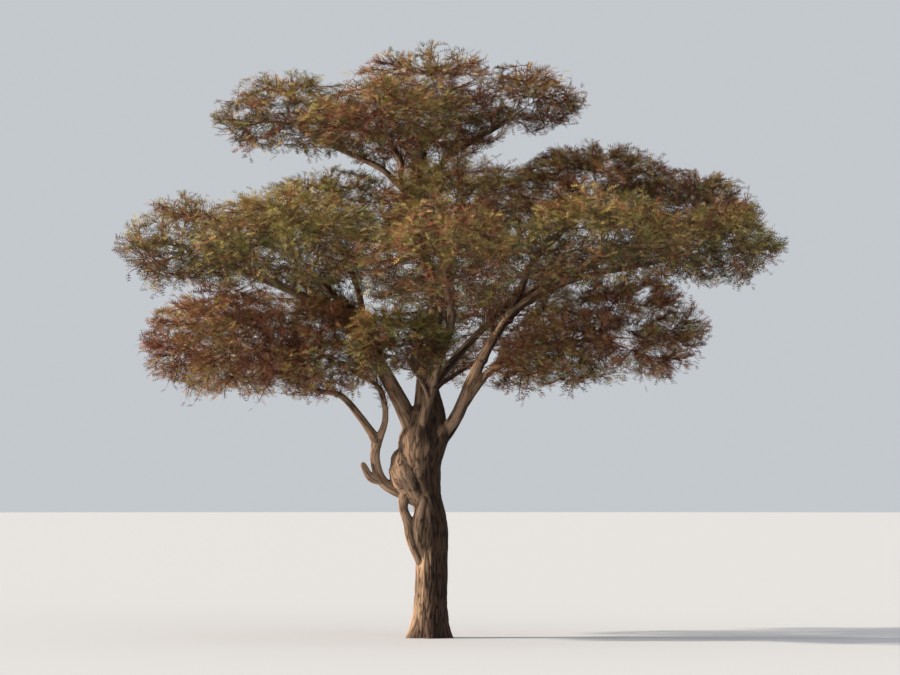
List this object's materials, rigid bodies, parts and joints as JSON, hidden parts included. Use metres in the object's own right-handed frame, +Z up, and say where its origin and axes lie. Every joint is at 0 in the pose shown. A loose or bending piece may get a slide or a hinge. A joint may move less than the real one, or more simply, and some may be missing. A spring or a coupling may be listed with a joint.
{
  "type": "acacia tree",
  "caption": "Flat-crowned desert acacia with a short flared trunk, spreading boughs and layered masses of fine foliage.",
  "frame": {"origin": "centre of the flat cut through the trunk at ground level", "axes": "+X to the right and -Y towards the viewer of the pictured side, +Z up the tree"},
  "size_m": [6.6234, 5.9837, 5.942],
  "materials": {
    "bark": "rough fissured bark",
    "foliage": "fine twigs and small dull leaves"
  },
  "bodies": {
    "root": {"bough_back": "bark", "bough_cap_back": "bark", "bough_cap_centre": "bark", "bough_cap_front": "bark", "bough_cap_left": "bark", "bough_cap_right": "bark", "bough_centre_back": "bark", "bough_centre_front": "bark", "bough_clump_front": "bark", "bough_front": "bark", "bough_left_back": "bark", "bough_left_front": "bark", "bough_left_tip": "bark", "bough_left_top": "bark", "bough_low_back": "bark", "bough_low_left": "bark", "bough_low_left_back": "bark", "bough_low_left_in": "bark", "bough_low_left_out": "bark", "bough_low_right_in": "bark", "bough_low_right_out": "bark", "bough_right_back": "bark", "bough_right_front": "bark", "bough_right_shoulder": "bark", "bough_right_tip": "bark", "bough_right_top": "bark", "foliage_back": "foliage", "foliage_cap_back": "foliage", "foliage_cap_centre": "foliage", "foliage_cap_front": "foliage", "foliage_cap_left": "foliage", "foliage_cap_right": "foliage", "foliage_centre_back": "foliage", "foliage_centre_front": "foliage", "foliage_clump_front": "foliage", "foliage_front": "foliage", "foliage_left_back": "foliage", "foliage_left_front": "foliage", "foliage_left_tip": "foliage", "foliage_left_top": "foliage", "foliage_low_back": "foliage", "foliage_low_left_back": "foliage", "foliage_low_left_in": "foliage", "foliage_low_left_out": "foliage", "foliage_low_right_in": "foliage", "foliage_low_right_out": "foliage", "foliage_right_back": "foliage", "foliage_right_front": "foliage", "foliage_right_shoulder": "foliage", "foliage_right_tip": "foliage", "foliage_right_top": "foliage", "trunk": "bark"}
  },
  "joints": []
}
